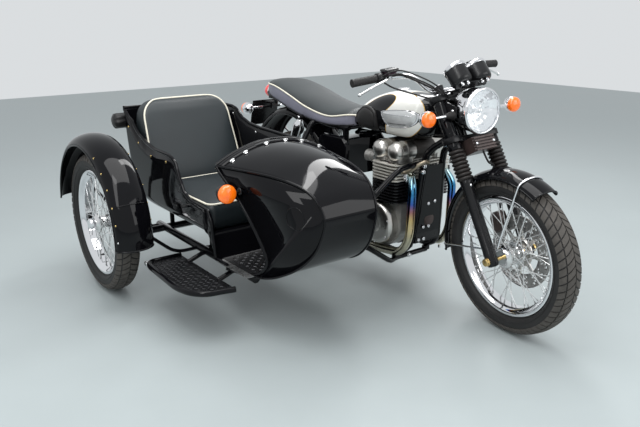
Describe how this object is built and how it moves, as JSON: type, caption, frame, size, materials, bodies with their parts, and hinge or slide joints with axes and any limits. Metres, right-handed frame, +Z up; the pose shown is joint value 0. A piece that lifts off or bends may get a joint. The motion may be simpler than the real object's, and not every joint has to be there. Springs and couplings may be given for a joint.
{
  "type": "motorcycle with sidecar",
  "caption": "Classic roadster motorcycle with laced wire wheels and a single-seat sidecar on its right, with step, mudguard and tubular struts. All wheels turn and the fork steers.",
  "frame": {"origin": "middle of the base, on the ground", "axes": "+X forward, +Y to the machine's left, +Z up"},
  "size_m": [2.2258, 1.658, 1.0984],
  "materials": {
    "gloss_black": "gloss",
    "satin_black": "satin",
    "cream_paint": "gloss",
    "chrome": "polished",
    "cast_alloy": "satin",
    "steel": "satin",
    "tinted_steel": "heat tinted",
    "tyre": "matt",
    "rubber": "matt",
    "vinyl": "satin",
    "lamp_glass": "clear",
    "amber_lens": "gloss",
    "red_lens": "gloss",
    "brass": "polished"
  },
  "bodies": {
    "chassis": {"frame": "gloss_black", "crankcase": "cast_alloy", "cylinder_barrel": "satin_black", "cylinder_head": "cast_alloy", "cam_covers": "cast_alloy", "carburettors": "cast_alloy", "swingarm": "satin_black", "rear_axle": "steel", "rear_mudguard": "gloss_black", "tail_bracket": "satin_black", "tail_lamp": "red_lens", "fuel_tank": "cream_paint", "dual_seat": "vinyl", "side_panels": "gloss_black", "sidecar_tub": "gloss_black", "sidecar_nose": "gloss_black", "sidecar_seat_back": "vinyl", "sidecar_seat_cushion": "vinyl", "sidecar_hood": "vinyl", "sidecar_step": "gloss_black", "sidecar_chassis": "gloss_black", "sidecar_axle": "steel", "sidecar_mudguard": "gloss_black", "strut_front": "gloss_black", "strut_rear": "gloss_black", "sidecar_indicator": "amber_lens", "exhaust_right": "tinted_steel", "exhaust_left": "tinted_steel", "shock_right": "chrome", "shock_left": "chrome"},
    "steering": {"yokes": "satin_black", "handlebar": "chrome", "headlamp_shell": "chrome", "headlamp_lens": "lamp_glass", "gauges": "satin_black", "front_mudguard": "gloss_black", "front_caliper": "satin_black", "front_axle": "brass", "fork_leg_right": "gloss_black", "fork_leg_left": "gloss_black", "fork_gaiter_right": "rubber", "fork_gaiter_left": "rubber"},
    "front_wheel": {"front_tyre": "tyre", "front_wire_wheel": "chrome", "front_brake_disc": "steel"},
    "rear_wheel": {"rear_tyre": "tyre", "rear_wire_wheel": "chrome"},
    "sidecar_wheel": {"sidecar_tyre": "tyre", "sidecar_wire_wheel": "chrome"}
  },
  "joints": [
    {"name": "steering_hinge", "type": "hinge", "parent": "chassis", "child": "steering", "pos_m": [0.893, 0.42, 0.0005], "axis": [-0.4695, 0, 0.8829], "range_deg": [-22.4, 37.6]},
    {"name": "front_wheel_spin", "type": "hinge", "parent": "steering", "child": "front_wheel", "pos_m": [0.78255, 0.41229, 0.33126], "axis": [0.1168, 0.9912, 0.0621], "continuous": true},
    {"name": "rear_wheel_spin", "type": "hinge", "parent": "chassis", "child": "rear_wheel", "pos_m": [-0.717, 0.42, 0.3205], "axis": [0, 1, 0], "continuous": true},
    {"name": "sidecar_wheel_spin", "type": "hinge", "parent": "chassis", "child": "sidecar_wheel", "pos_m": [-0.692, -0.744, 0.3315], "axis": [0, 1, 0], "continuous": true}
  ]
}
